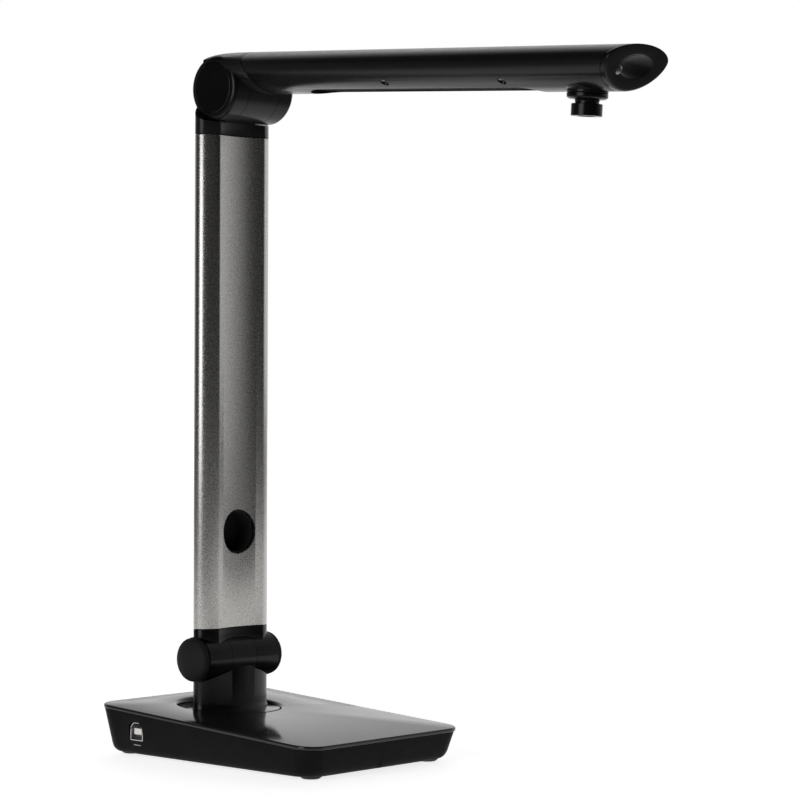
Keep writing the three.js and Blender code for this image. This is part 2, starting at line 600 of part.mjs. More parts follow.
arm.add(mesh('focus_ring', focusRing(), SATIN_BLACK));

device.add(base, turntable, column, arm);
const group = new THREE.Group();
group.add(device);
export default group;
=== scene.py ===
import json
import math

import bmesh
import bpy
from mathutils import Matrix, Vector


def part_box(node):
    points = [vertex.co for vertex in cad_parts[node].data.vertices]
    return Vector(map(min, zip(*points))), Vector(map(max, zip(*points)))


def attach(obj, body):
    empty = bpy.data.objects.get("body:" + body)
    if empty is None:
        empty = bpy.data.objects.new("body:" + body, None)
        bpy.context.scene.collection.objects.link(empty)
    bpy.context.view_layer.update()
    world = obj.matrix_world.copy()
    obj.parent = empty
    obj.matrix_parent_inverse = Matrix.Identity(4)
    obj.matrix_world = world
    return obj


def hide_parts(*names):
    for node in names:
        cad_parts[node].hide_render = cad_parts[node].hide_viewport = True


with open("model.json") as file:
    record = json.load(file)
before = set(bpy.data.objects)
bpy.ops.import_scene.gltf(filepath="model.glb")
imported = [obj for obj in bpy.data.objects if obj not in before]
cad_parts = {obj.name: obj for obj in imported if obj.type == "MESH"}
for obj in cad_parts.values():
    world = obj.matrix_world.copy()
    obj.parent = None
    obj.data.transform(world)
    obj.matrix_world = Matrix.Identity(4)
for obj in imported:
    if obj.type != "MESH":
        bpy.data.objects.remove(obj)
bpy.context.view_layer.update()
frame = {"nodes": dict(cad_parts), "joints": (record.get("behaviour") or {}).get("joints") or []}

# ---------- Places from the frame ----------
MM = 0.001
JOINTS = {joint["name"]: joint for joint in frame["joints"]}
UPPER = Vector(JOINTS["arm_fold"]["pos_m"])
LOWER = Vector(JOINTS["column_fold"]["pos_m"])
SWIVEL = Vector(JOINTS["base_swivel"]["pos_m"])
HEAD = Vector(JOINTS["head_turn"]["pos_m"])
HEAD_AXIS = Vector(JOINTS["head_turn"]["axis"])
DROOP = math.atan2(HEAD_AXIS.x, HEAD_AXIS.z)

# Pieces are drawn in millimetres. DEVICE has its x = 0 under the upper hinge axis, ARM has its origin on
# that axis with x along the arm.
DEVICE = Matrix.Translation((UPPER.x, 0, 0)) @ Matrix.Scale(MM, 4)
ARM = Matrix.Translation(UPPER) @ Matrix.Rotation(DROOP, 4, "Y") @ Matrix.Scale(MM, 4)


def span(node):
    """The lowest and highest corner of a CAD node in DEVICE millimetres."""
    back = DEVICE.inverted()
    return tuple(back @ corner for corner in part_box(node))


LID_LOW, LID_HIGH = span("base_top_plate")
HOUSING_LOW, _ = span("base_housing")
COLUMN_LOW, COLUMN_HIGH = span("column_extrusion")
COLLAR_HIGH_Z = COLUMN_LOW.z - 0.3
NEST_LOW, NEST_HIGH = span("head_nest_cup")
DISC_LOW, DISC_HIGH = span("swivel_disc")
SOCKET_LOW, SOCKET_HIGH = span("usb_socket_shell")
AXIS_LOW = DEVICE.inverted() @ LOWER
AXIS_UP = DEVICE.inverted() @ UPPER
SWIVEL_X = (DEVICE.inverted() @ SWIVEL).x
HEAD_X = (ARM.inverted() @ HEAD).x

GAP = 0.3                   # between two pieces
SLOPE = 0.0584              # fall of the base's top towards the front
CORNER = 11                 # radius of the base's corners
DRAFT = 4                   # how far the base's walls lean in at the bottom
PLATE = 2                   # thickness of the base's lid
WALL = 2.2                  # thickness of the base's walls
WELL_RADIUS = 28            # the round well in the lid
WELL_FLOOR = 18.6
WELL_BORE = 12.4            # the hole in the well's floor for the hub
WELL_SKIRT = 30.6           # outside of the well's wall
DISC_THICKNESS = 3
COLUMN_DEPTH = 10.8         # half the column's depth before its channel is cut
COLUMN_WALL = 1.8
CHANNEL_RADIUS = 49         # the hollow curve of the channel in front
CHANNEL_DEPTH = 2.9
RIM = 0.8                   # radius of the channel's two rims
NEST_HOLE = 12
LOWER_BARREL = 12.1
LOWER_TONGUE = 9            # half width of the post's middle knuckle
UPPER_BARREL = 17.1
UPPER_TONGUE = 11           # half width of the column's middle knuckle
UPPER_LOBE = 20             # half width of the barrel inside its end rings
END_RING = 22.5             # outer face of the end rings
SADDLE = 17.7               # radius of the hollows beside the upper tongue
ARM_HALF = 23.1             # half the arm's width
WAIST = 12.5                # height at which the arm is widest
CROWN = 7.9                 # height above the waist
BELLY = 14.4                # depth below the waist
BELLY_POWER = 1.85          # fullness of the lower half
ARM_WALL = 1.8
ROOT = 24.8                 # radius of the knuckle's front edge
END_X = 265.8               # middle of the slanted end face
END_Z = 9.2
END_SLOPE = 0.56
END_CAP = 3                 # thickness of the end cap
DISH_LENGTH = 12.4          # half sizes of the thumb dish
DISH_WIDTH = 6.6
DISH_DEPTH = 2.0
SEAM = 5.2                  # height of the seam between the two arm shells
STRIP_HALF = 9
STRIP_ROUND = 12
SCREW_X = (118, 196)        # the four screws in the arm's underside
SCREW_Y = 15
BEAD_RADIUS = 2.6
HEAD_RING = 10.1            # the camera head's turning ring
HEAD_NECK = 5.9
HEAD_TIP = -12.4            # lower end of the neck
LENS_BORE = 3.6
FOCUS_RING = 7.65
FOCUS_BORE = 6.2
FOCUS_LIP = 4.2


# ---------- Mesh tools ----------
def make(name, points, faces, matrix):
    """A mesh object from millimetre points, with its faces turned outwards."""
    mesh = bpy.data.meshes.new(name)
    mesh.from_pydata([matrix @ Vector(point) for point in points], [], faces)
    work = bmesh.new()
    work.from_mesh(mesh)
    bmesh.ops.remove_doubles(work, verts=work.verts, dist=1e-7)
    bmesh.ops.recalc_face_normals(work, faces=work.faces)
    work.to_mesh(mesh)
    work.free()
    piece = bpy.data.objects.new(name, mesh)
    bpy.context.scene.collection.objects.link(piece)
    mesh.polygons.foreach_set("use_smooth", [True] * len(mesh.polygons))
    return piece


def rings(name, loops, matrix, closed=False):
    """Closed loops of points joined into a skin, with end caps, or with the last loop joined to the first."""
    count = len(loops[0])
    points = [point for loop in loops for point in loop]
    faces = []
    pairs = list(zip(range(len(loops)), range(1, len(loops))))
    if closed:
        pairs.append((len(loops) - 1, 0))
    for a, b in pairs:
        for i in range(count):
            j = (i + 1) % count
            faces.append((a * count + i, a * count + j, b * count + j, b * count + i))
    if not closed:
        faces.append(tuple(range(count))[::-1])
        faces.append(tuple(range((len(loops) - 1) * count, len(loops) * count)))
    return make(name, points, faces, matrix)


def soften(points, radius, steps=4):
    """A polyline with its inner corners rounded."""
    made = [points[0]]
    for before, here, after in zip(points, points[1:], points[2:]):
        p, q, r = Vector(before), Vector(here), Vector(after)
        reach = min(radius, (p - q).length * 0.48, (r - q).length * 0.48)
        a = q + (p - q).normalized() * reach
        b = q + (r - q).normalized() * reach
        for k in range(steps + 1):
            t = k / steps
            made.append(tuple(a * (1 - t) ** 2 + q * 2 * t * (1 - t) + b * t * t))
    made.append(points[-1])
    return made


def lathe(name, profile, matrix, segments=96):
    """Turns (radius, height) points about Z. The profile starts and ends on the axis."""
    points = [(0, 0, profile[0][1])]
    for radius, height in profile[1:-1]:
        for k in range(segments):
            a = 2 * math.pi * k / segments
            points.append((radius * math.cos(a), radius * math.sin(a), height))
    points.append((0, 0, profile[-1][1]))
    faces = []
    rows = len(profile) - 2
    for k in range(segments):
        n = (k + 1) % segments
        faces.append((0, 1 + n, 1 + k))
        for row in range(rows - 1):
            a = 1 + row * segments
            b = a + segments
            faces.append((a + k, a + n, b + n, b + k))
        a = 1 + (rows - 1) * segments
        faces.append((a + k, a + n, len(points) - 1))
    return make(name, points, faces, matrix)


def bake(piece):
    """Turns the modifiers into mesh."""
    graph = bpy.context.evaluated_depsgraph_get()
    made = bpy.data.meshes.new_from_object(piece.evaluated_get(graph))
    piece.modifiers.clear()
    piece.data = made
    return piece


def combine(piece, tool, operation="DIFFERENCE"):
    change = piece.modifiers.new("combine", "BOOLEAN")
    change.operation = operation
    change.solver = "EXACT"
    change.object = tool
    bpy.context.view_layer.update()
    bake(piece)
    bpy.data.objects.remove(tool)
    return piece


def bevel(piece, width, segments=3, angle=32):
    """Rounds the edges that are sharper than the angle. The width is in millimetres."""
    change = piece.modifiers.new("bevel", "BEVEL")
    change.width = width * MM
    change.segments = segments
    change.limit_method = "ANGLE"
    change.angle_limit = math.radians(angle)
    change.harden_normals = True
    piece.data.polygons.foreach_set("use_smooth", [True] * len(piece.data.polygons))
    bpy.context.view_layer.update()
    return bake(piece)


def crease(piece, angle=30):
    """Smooth shading that breaks at sharp edges."""
    piece.data.polygons.foreach_set("use_smooth", [True] * len(piece.data.polygons))
    piece.data.set_sharp_from_angle(angle=math.radians(angle))
    return piece


def box(name, low, high, matrix):
    points = [(x, y, z) for z in (low[2], high[2]) for x, y in
              ((low[0], low[1]), (high[0], low[1]), (high[0], high[1]), (low[0], high[1]))]
    return rings(name, [points[:4], points[4:]], matrix)


def rod(name, radius, start, end, matrix, segments=128):
    """A plain cylinder between two heights, for cutting and joining."""
    circle = [(radius * math.cos(2 * math.pi * k / segments), radius * math.sin(2 * math.pi * k / segments))
              for k in range(segments)]
    return rings(name, [[(x, y, z) for x, y in circle] for z in (start, end)], matrix)


def place(piece, body, slot, material, *nodes):
    """Gives a piece its body, its finish and the CAD nodes that it stands for."""
    piece.data.materials.clear()
    piece.data.materials.append(material)
    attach(piece, body)
    if nodes:
        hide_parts(*nodes)
    return piece


def along_y(x, z, side=1):
    """Stands a lathe's axis along Y, pointing to the given side, in DEVICE or ARM millimetres."""
    return Matrix.Translation((x, 0, z)) @ Matrix.Rotation(-side * math.pi / 2, 4, "X")


# ---------- Materials ----------
class Nodes:
    """A small helper that adds shader nodes and joins them."""

    def __init__(self, name):
        self.material = bpy.data.materials.new(name)
        self.material.use_nodes = True
        self.tree = self.material.node_tree
        self.shader = self.tree.nodes["Principled BSDF"]
        self.coordinates = self.add("ShaderNodeTexCoord").outputs["Object"]

    def add(self, kind, **values):
        node = self.tree.nodes.new(kind)
        for key, value in values.items():
            setattr(node, key, value)
        return node

    def link(self, source, target):
        self.tree.links.new(source, target)

    def noise(self, scale, detail=2.0, rough=0.5, stretch=(1, 1, 1)):
        """Noise with so many features in a metre."""
        mapping = self.add("ShaderNodeMapping")
        mapping.inputs["Scale"].default_value = stretch
        self.link(self.coordinates, mapping.inputs["Vector"])
        texture = self.add("ShaderNodeTexNoise")
        texture.inputs["Scale"].default_value = scale
        texture.inputs["Detail"].default_value = detail
        texture.inputs["Roughness"].default_value = rough
        self.link(mapping.outputs["Vector"], texture.inputs["Vector"])
        return texture.outputs["Fac"]

    def remap(self, source, low, high, start=0.3, end=0.7):
        node = self.add("ShaderNodeMapRange")
        node.inputs["From Min"].default_value = start
        node.inputs["From Max"].default_value = end
        node.inputs["To Min"].default_value = low
        node.inputs["To Max"].default_value = high
        self.link(source, node.inputs["Value"])
        return node.outputs["Result"]

    def blend(self, factor, first, second):
        node = self.add("ShaderNodeMix", data_type="RGBA")
        for socket, colour in ((node.inputs[6], first), (node.inputs[7], second)):
            if isinstance(colour, tuple):
                socket.default_value = (*colour, 1)
            else:
                self.link(colour, socket)
        self.link(factor, node.inputs[0])
        return node.outputs[2]

    def bump(self, height, strength, distance, under=None):
        node = self.add("ShaderNodeBump")
        node.inputs["Strength"].default_value = strength
        node.inputs["Distance"].default_value = distance
        self.link(height, node.inputs["Height"])
        if under is not None:
            self.link(under, node.inputs["Normal"])
        return node.outputs["Normal"]

    def edges(self, low, high):
        """Where the surface turns an outer edge."""
        geometry = self.add("ShaderNodeNewGeometry")
        return self.remap(geometry.outputs["Pointiness"], 0.0, 1.0, low, high)


def plastic(name, colour, worn, roughness, grain=1600, relief=0.25, specular=0.3):
    """Moulded plastic: spark-eroded grain, faint handling marks and edges that have been rubbed."""
    m = Nodes(name)
    clouds = m.noise(45, 4)
    fine = m.noise(grain, 3, 0.6)
    base = m.blend(m.remap(clouds, 0, 1), colour, tuple(c * 1.35 + 0.001 for c in colour))
    rubbed = m.edges(0.53, 0.62)
    m.link(m.blend(m.remap(rubbed, 0, 0.5, 0, 1), base, worn), m.shader.inputs["Base Color"])
    marks = m.noise(160, 5, 0.65, (1, 1, 3))
    m.link(m.remap(marks, roughness * 0.86, roughness * 1.16), m.shader.inputs["Roughness"])
    m.link(m.bump(fine, relief, 0.00006), m.shader.inputs["Normal"])
    m.shader.inputs["Specular IOR Level"].default_value = specular
    return m.material


def gloss(name, colour, roughness):
    """Polished black plastic with hairline scratches and a few specks of dust."""
    m = Nodes(name)
    clouds = m.noise(30, 3)
    base = m.blend(m.remap(clouds, 0, 1), colour, tuple(c * 1.3 for c in colour))
    dust = m.remap(m.noise(900, 2, 0.4), 0, 0.35, 0.735, 0.77)
    m.link(m.blend(dust, base, (0.16, 0.155, 0.15)), m.shader.inputs["Base Color"])
    wiped = m.noise(70, 4, 0.6, (1, 5, 1))
    m.link(m.remap(wiped, roughness * 0.82, roughness * 1.2), m.shader.inputs["Roughness"])
    hairs = m.noise(500, 2, 0.5, (0.08, 3, 1))
    grain = m.noise(1100, 2, 0.5)
    m.link(m.bump(hairs, 0.05, 0.00004, m.bump(grain, 0.06, 0.00004)), m.shader.inputs["Normal"])
    m.shader.inputs["Specular IOR Level"].default_value = 0.4
    return m.material


def blasted(name):
    """Bead-blasted, anodised aluminium: a fine matt grain with small bright and dark grains."""
    m = Nodes(name)
    m.shader.inputs["Metallic"].default_value = 1.0
    grain = m.noise(1500, 3, 0.7)
    clouds = m.noise(25, 3, 0.5, (1, 1, 0.25))
    base = m.blend(m.remap(grain, 0, 1, 0.34, 0.66), (0.26, 0.256, 0.247), (0.58, 0.572, 0.555))
    tint = m.blend(m.remap(clouds, 0, 0.25), base, (0.4, 0.381, 0.36))
    m.link(tint, m.shader.inputs["Base Color"])
    m.link(m.remap(grain, 0.22, 0.32), m.shader.inputs["Roughness"])
    drawn = m.noise(700, 2, 0.5, (1, 1, 0.01))
    m.link(m.bump(grain, 0.35, 0.00008, m.bump(drawn, 0.05, 0.00003)), m.shader.inputs["Normal"])
    return m.material


def steel(name, colour, roughness=0.28):
    """Turned or pressed steel with fine brushing."""
    m = Nodes(name)
    m.shader.inputs["Metallic"].default_value = 1.0
    brushed = m.noise(900, 4, 0.6, (1, 0.06, 1))
    m.link(m.blend(brushed, tuple(c * 0.8 for c in colour), colour), m.shader.inputs["Base Color"])
    m.link(m.remap(brushed, roughness * 0.7, roughness * 1.3), m.shader.inputs["Roughness"])
    m.link(m.bump(brushed, 0.12, 0.00003), m.shader.inputs["Normal"])
    return m.material


def rubber(name, colour):
    """Soft rubber with a powdery bloom and a pebbled skin."""
    m = Nodes(name)
    bloom = m.noise(110, 5, 0.65)
    m.link(m.blend(m.remap(bloom, 0, 1), colour, tuple(c * 1.6 + 0.002 for c in colour)),
           m.shader.inputs["Base Color"])
    m.link(m.remap(bloom, 0.6, 0.76), m.shader.inputs["Roughness"])
    m.link(m.bump(m.noise(1900, 3, 0.6), 0.3, 0.00006), m.shader.inputs["Normal"])
    m.shader.inputs["Sheen Weight"].default_value = 0.04
    m.shader.inputs["Specular IOR Level"].default_value = 0.2
    return m.material


def board_green(name):
    """Solder mask over copper tracks."""
    m = Nodes(name)
    tracks = m.noise(260, 1, 0.2, (1, 3, 1))
    m.link(m.blend(m.remap(tracks, 0, 1, 0.48, 0.52), (0.008, 0.06, 0.03), (0.02, 0.12, 0.055)),
           m.shader.inputs["Base Color"])
    m.link(m.remap(tracks, 0.25, 0.4), m.shader.inputs["Roughness"])
    m.link(m.bump(tracks, 0.2, 0.00005), m.shader.inputs["Normal"])
    return m.material


def lens_coating(name):
    """Dark coated glass with a violet and green bloom."""
    m = Nodes(name)
    bloom = m.noise(60, 2)
    m.link(m.blend(m.remap(bloom, 0, 1), (0.012, 0.01, 0.03), (0.01, 0.025, 0.02)),
           m.shader.inputs["Base Color"])
    m.link(m.remap(m.noise(400, 3), 0.03, 0.08), m.shader.inputs["Roughness"])
    m.shader.inputs["Coat Weight"].default_value = 1.0
    m.shader.inputs["Coat Roughness"].default_value = 0.03
    return m.material


def bead_light(name):
    """A smoky clear bead."""
    m = Nodes(name)
    frost = m.noise(700, 3)
    m.link(m.blend(m.remap(frost, 0, 1), (0.02, 0.02, 0.022), (0.035, 0.036, 0.04)),
           m.shader.inputs["Base Color"])
    m.link(m.remap(frost, 0.06, 0.14), m.shader.inputs["Roughness"])
    m.shader.inputs["Coat Weight"].default_value = 1.0
    m.shader.inputs["Coat Roughness"].default_value = 0.05
    m.shader.inputs["Coat IOR"].default_value = 1.9
    return m.material


SATIN = plastic("satin_black", (0.0032, 0.0031, 0.0032), (0.02, 0.0195, 0.0195), 0.22, 1600, 0.12, 0.2)
WALLS = plastic("wall_black", (0.003, 0.003, 0.0032), (0.012, 0.012, 0.012), 0.5, 1300, 0.4, 0.06)
MATT = plastic("matt_black", (0.003, 0.003, 0.003), (0.006, 0.006, 0.006), 0.8, 1300, 0.4, 0.05)
SOFT = rubber("soft_black", (0.007, 0.0068, 0.0068))
GLOSS = gloss("gloss_black", (0.012, 0.012, 0.0125), 0.13)
SILVER = blasted("blasted_silver")
STEEL = steel("bright_steel", (0.62, 0.62, 0.63))
DARK_STEEL = steel("dark_steel", (0.16, 0.16, 0.17), 0.35)
GOLD = steel("gold_contact", (0.85, 0.6, 0.25), 0.2)
FOOT = rubber("foot_rubber", (0.012, 0.012, 0.012))
NYLON = plastic("white_nylon", (0.66, 0.65, 0.62), (0.75, 0.74, 0.72), 0.42)
MARK = plastic("grey_mark", (0.22, 0.22, 0.225), (0.26, 0.26, 0.26), 0.5)
BOARD = board_green("circuit_board")
LENS = lens_coating("lens_coating")
BEAD = bead_light("status_bead")


# ---------- Base ----------
MIDDLE_X = (LID_LOW.x + LID_HIGH.x) / 2


def top_at(x):
    return LID_HIGH.z - SLOPE * (x - LID_LOW.x)


def shifted(point, inset):
    """Moves an outline point in by the same amount on both axes, which keeps the corner radius."""
    x, y = point
    return x - math.copysign(inset, x - MIDDLE_X), y - math.copysign(inset, y)


def lid_edge(angle):
    """The point where a ray from the swivel axis meets the base's rounded outline."""
    half = Vector(((LID_HIGH.x - LID_LOW.x) / 2 - CORNER, LID_HIGH.y - CORNER))
    near, far = 0.0, 300.0
    for _ in range(48):
        reach = (near + far) / 2
        x = SWIVEL_X + reach * math.cos(angle) - MIDDLE_X
        y = reach * math.sin(angle)
        over = Vector((max(abs(x) - half.x, 0), max(abs(y) - half.y, 0)))
        if over.length < CORNER:
            near = reach
        else:
            far = reach
    return SWIVEL_X + near * math.cos(angle), near * math.sin(angle)


def base_angles():
    """Even steps round the swivel axis, with more where the outline turns its corners."""
    angles = {round(2 * math.pi * k / 144, 6) for k in range(144)}
    for x_side in (-1, 1):
        for y_side in (-1, 1):
            x0 = MIDDLE_X + x_side * ((LID_HIGH.x - LID_LOW.x) / 2 - CORNER)
            y0 = y_side * (LID_HIGH.y - CORNER)
            for k in range(15):
                turn = math.pi / 2 * k / 14
                x = x0 + x_side * CORNER * math.cos(turn) - SWIVEL_X
                y = y0 + y_side * CORNER * math.sin(turn)
                angles.add(round(math.atan2(y, x) % (2 * math.pi), 6))
    return sorted(angles)


ANGLES = base_angles()
OUTLINE = [lid_edge(angle) for angle in ANGLES]


def base_walls():
    bottom = HOUSING_LOW.z
    section = [(0.3, "top", 0.0), (0.06, "top", 0.1), (0.0, "top", 0.35), (0.0, "bottom", 4.2),
               (0.16, "bottom", 2.6), (0.6, "bottom", 1.3), (1.3, "bottom", 0.45), (2.3, "bottom", 0.0),
               (3.0, "bottom", 0.0), (3.0, "bottom", 3.0), (WALL, "bottom", 6.0), (WALL, "top", 0.0)]
    loops = []
    for extra, end, step in section:
        loop = []
        for point in OUTLINE:
            top = top_at(point[0])
            z = top - PLATE - 0.15 - step if end == "top" else bottom + step
            inset = DRAFT * (1 - (z - bottom) / (top - bottom)) + extra
            loop.append((*shifted(point, inset), z))
        loops.append(loop)
    walls = rings("base_walls", loops, DEVICE, closed=True)
    hole = rings("socket_hole", [socket_loop(0.45, y) for y in (-70, -48)], DEVICE)
    combine(walls, hole)
    crease(walls, 35)
    place(walls, "base", "satin_black", WALLS, "base_housing")


def base_lid():
    loops = []
    for inset, below in ((3, PLATE), (0.2, PLATE), (0.04, PLATE - 0.15), (0, PLATE - 0.45), (0, 0.75),
                         (0.05, 0.5), (0.2, 0.25), (0.42, 0.08), (0.75, 0.0)):
        loops.append([(*shifted(point, inset), top_at(point[0]) - below) for point in OUTLINE])
    lip = ((30.4, 0.0), (29.8, 0.05), (29.2, 0.2), (28.7, 0.5), (28.3, 1.0), (28.1, 1.6), (WELL_RADIUS, 2.3))
    for radius, below in lip:
        loops.append([well_point(angle, radius, below) for angle in ANGLES])
    under = WELL_FLOOR - 2
    for radius, z in ((WELL_RADIUS, WELL_FLOOR), (WELL_BORE, WELL_FLOOR), (WELL_BORE, under),
                      (WELL_SKIRT, under)):
        loops.append([(SWIVEL_X + radius * math.cos(a), radius * math.sin(a), z) for a in ANGLES])
    loops.append([well_point(angle, WELL_SKIRT, PLATE) for angle in ANGLES])
    lid = rings("base_lid", loops, DEVICE, closed=True)
    crease(lid, 24)
    place(lid, "base", "gloss_black", GLOSS, "base_top_plate")


def well_point(angle, radius, below):
    x = SWIVEL_X + radius * math.cos(angle)
    return x, radius * math.sin(angle), top_at(x) - below


def bottom_cover():
    low, high = span("base_bottom_cover")
    outline = [shifted(point, LID_HIGH.y - high.y) for point in OUTLINE]
    loops = [[(*shifted(point, inset), z) for point in outline] for inset, z in
             ((0.5, low.z), (0.12, low.z + 0.1), (0, low.z + 0.4), (0, high.z))]
    cover = rings("bottom_panel", loops, DEVICE)
    for k in range(1, 5):
        centre = sum(span(f"bottom_screw_{k}"), Vector()) / 2
        spot = DEVICE @ Matrix.Translation((centre.x, centre.y, 0))
        combine(cover, rod("sink", 3.0, 0, low.z + 1.1, spot, 48))
    bevel(cover, 0.25, 2, 40)
    place(cover, "base", "satin_black", WALLS, "base_bottom_cover")


def feet():
    for row in ("rear", "front"):
        for side in ("left", "right"):
            low, high = span(f"foot_{row}_{side}")
            radius = (high.x - low.x) / 2
            profile = soften([(0, 0), (radius - 1.4, 0), (radius, 1.1), (radius, high.z), (0, high.z)], 0.5)
            profile = [(0, 0.15), (radius * 0.62, 0.12), *profile[1:]]
            middle = (low + high) / 2
            spot = DEVICE @ Matrix.Translation((middle.x, middle.y, 0))
            pad = lathe(f"pad_{row}_{side}", profile, spot, 64)
            crease(pad)
            place(pad, "base", "rubber", FOOT, f"foot_{row}_{side}")


def socket_loop(grow, y):
    """The socket's outline: square below, with its two upper corners cut off."""
    low, high = SOCKET_LOW, SOCKET_HIGH
    cut = 2.2 + grow * 0.4
    x0, x1, z0, z1 = low.x - grow, high.x + grow, low.z - grow, high.z + grow
    corners = [(x0, z0), (x1, z0), (x1, z1 - cut), (x1 - cut, z1), (x0 + cut, z1), (x0, z1 - cut)]
    rounded = soften([corners[-1], *corners, corners[0]], 0.45, 3)[1:-1]
    return [(x, y, z) for x, z in rounded]


def socket():
    front, back = SOCKET_LOW.y, SOCKET_HIGH.y
    loops = [socket_loop(grow, y) for grow, y in ((-0.08, front), (0, front + 0.08), (0, back), (-0.5, back),
                                                 (-0.5, front + 0.12), (-0.42, front))]
    shell = rings("socket_shell", loops, DEVICE, closed=True)
    crease(shell)
    place(shell, "base", "steel", STEEL, "usb_socket_shell")
    low, high = span("usb_socket_tongue")
    middle = (SOCKET_LOW.x + SOCKET_HIGH.x) / 2
    level = (SOCKET_LOW.z + SOCKET_HIGH.z) / 2
    tongue = box("socket_tongue", (middle - 2.8, low.y, level - 1.6), (middle + 2.8, high.y, level + 1.6),
                 DEVICE)
    rear = box("socket_back", (middle - 3, back - 2.5, level - 3.6), (middle + 3, back, level + 2.4), DEVICE)
    combine(tongue, rear, "UNION")
    bevel(tongue, 0.25, 2)
    place(tongue, "base", "nylon", NYLON, "usb_socket_tongue")
    for k, x in enumerate((-1.25, 1.25)):
        for z, name in ((1.62, "upper"), (-1.62, "lower")):
            spring = box(f"contact_{name}_{k + 1}", (middle + x - 0.45, low.y + 0.5, level + z - 0.12),
                         (middle + x + 0.45, back - 3, level + z + 0.12), DEVICE)
            bevel(spring, 0.05, 2)
            place(spring, "base", "steel", GOLD)
    mark = box("socket_mark", (middle - 2.9, -55.62, 6.4), (middle + 2.9, -54.6, 7.5), DEVICE)
    bevel(mark, 0.3, 3)
    place(mark, "base", "satin_black", MARK)


# ---------- Turntable and post ----------
def turntable():
    radius = (DISC_HIGH.x - DISC_LOW.x) / 2
    top = DISC_HIGH.z
    low = top - DISC_THICKNESS
    profile = soften([(0, top), (radius, top), (radius, low), (0, low)], 0.3)
    disc = lathe("turntable_disc", profile, DEVICE @ Matrix.Translation((SWIVEL_X, 0, 0)), 144)
    crease(disc)
    place(disc, "turntable", "gloss_black", GLOSS, "swivel_disc")


def post_loop(grow, z):
    """The post's oval, which is the column's section without its channel."""
    middle = COLUMN_LOW.x + COLUMN_DEPTH
    turns = [2 * math.pi * k / 96 for k in range(96)]
    depth, half = COLUMN_DEPTH + grow, COLUMN_HIGH.y + grow
    return [(middle + depth * math.cos(a), half * math.sin(a), z) for a in turns]


def post():
    foot_z = DISC_HIGH.z + 0.02
    flare = ((1.1, 0), (1.05, 0.25), (0.7, 0.7), (0.38, 1.3), (0.16, 2.2), (0.04, 3.4), (0, 5))
    loops = [post_loop(grow, foot_z + rise) for grow, rise in flare] + [post_loop(0, AXIS_LOW.z)]
    body = rings("post", loops, DEVICE)
    turn = DEVICE @ along_y(AXIS_LOW.x, AXIS_LOW.z)
    for start, end in ((LOWER_TONGUE, 40), (-40, -LOWER_TONGUE)):
        combine(body, rod("saddle", LOWER_BARREL + GAP, start, end, turn, 160))
    combine(body, rod("tongue", LOWER_BARREL, -LOWER_TONGUE, LOWER_TONGUE, turn, 160), "UNION")
    bevel(body, 0.4, 3, 40)
    place(body, "turntable", "satin_black", SATIN, "foot_post", "lower_hinge_shaft")


# ---------- Column ----------
def column_loop(inset, z):
    """The column's section: an oval with a shallow channel in front, between two rims with a small radius."""
    depth, half = COLUMN_DEPTH - inset, COLUMN_HIGH.y - inset
    middle = COLUMN_LOW.x + COLUMN_DEPTH
    centre = CHANNEL_RADIUS - CHANNEL_DEPTH
    radius = CHANNEL_RADIUS + inset

    def on_oval(a):
        return Vector((middle + depth * math.cos(a), half * math.sin(a)))

    def on_channel(y):
        return Vector((centre - math.sqrt(radius ** 2 - y ** 2), y))

    near, far = 0.0, math.pi / 2
    for _ in range(40):
        rim = (near + far) / 2
        if on_oval(rim).x > on_channel(on_oval(rim).y).x:
            near = rim
        else:
            far = rim
    corner = on_oval(rim)
    start = rim + RIM / half
    width = corner.y - RIM
    loop = [on_oval(start + (2 * math.pi - 2 * start) * k / 88) for k in range(89)]
    loop += fillet(loop[-1], Vector((corner.x, -corner.y)), on_channel(-width))
    loop += [on_channel(-width + 2 * width * k / 32) for k in range(33)]
    loop += fillet(loop[-1], corner, loop[0])
    return [(x, y, z) for x, y in loop]


def fillet(before, corner, after):
    """The points of a small round between two points, by way of a corner."""
    turns = [k / 6 for k in range(1, 6)]
    return [before * (1 - t) ** 2 + corner * 2 * t * (1 - t) + after * t * t for t in turns]


def column():
    low, high = COLUMN_LOW.z, COLUMN_HIGH.z
    loops = [column_loop(inset, z) for inset, z in
             ((0.22, low), (0.05, low + 0.08), (0, low + 0.25), (0, high - 0.25), (0.05, high - 0.08),
              (0.22, high), (COLUMN_WALL - 0.2, high), (COLUMN_WALL, high - 0.2), (COLUMN_WALL, low + 0.2),
              (COLUMN_WALL - 0.2, low))]
    tube = rings("column_tube", loops, DEVICE, closed=True)
    middle = (NEST_LOW + NEST_HIGH) / 2
    across = DEVICE @ Matrix.Translation((0, 0, middle.z)) @ Matrix.Rotation(math.pi / 2, 4, "Y")
    combine(tube, rod("nest_hole", NEST_HOLE, -10, 10, across, 160))
    bevel(tube, 0.14, 2, 50)
    place(tube, "column", "silver", SILVER, "column_extrusion")
    rim = (NEST_HIGH.z - NEST_LOW.z) / 2
    depth = NEST_HIGH.x - NEST_LOW.x
    profile = soften([(0, 1.3), (rim - 1.1, 1.3), (rim - 0.8, depth), (rim, depth), (rim, 0), (0, 0)], 0.5)
    cup = lathe("nest_cup", profile, DEVICE @ Matrix.Translation((NEST_LOW.x, 0, middle.z))
                @ Matrix.Rotation(math.pi / 2, 4, "Y"), 128)
    crease(cup)
    place(cup, "column", "soft_black", SOFT, "head_nest_cup")


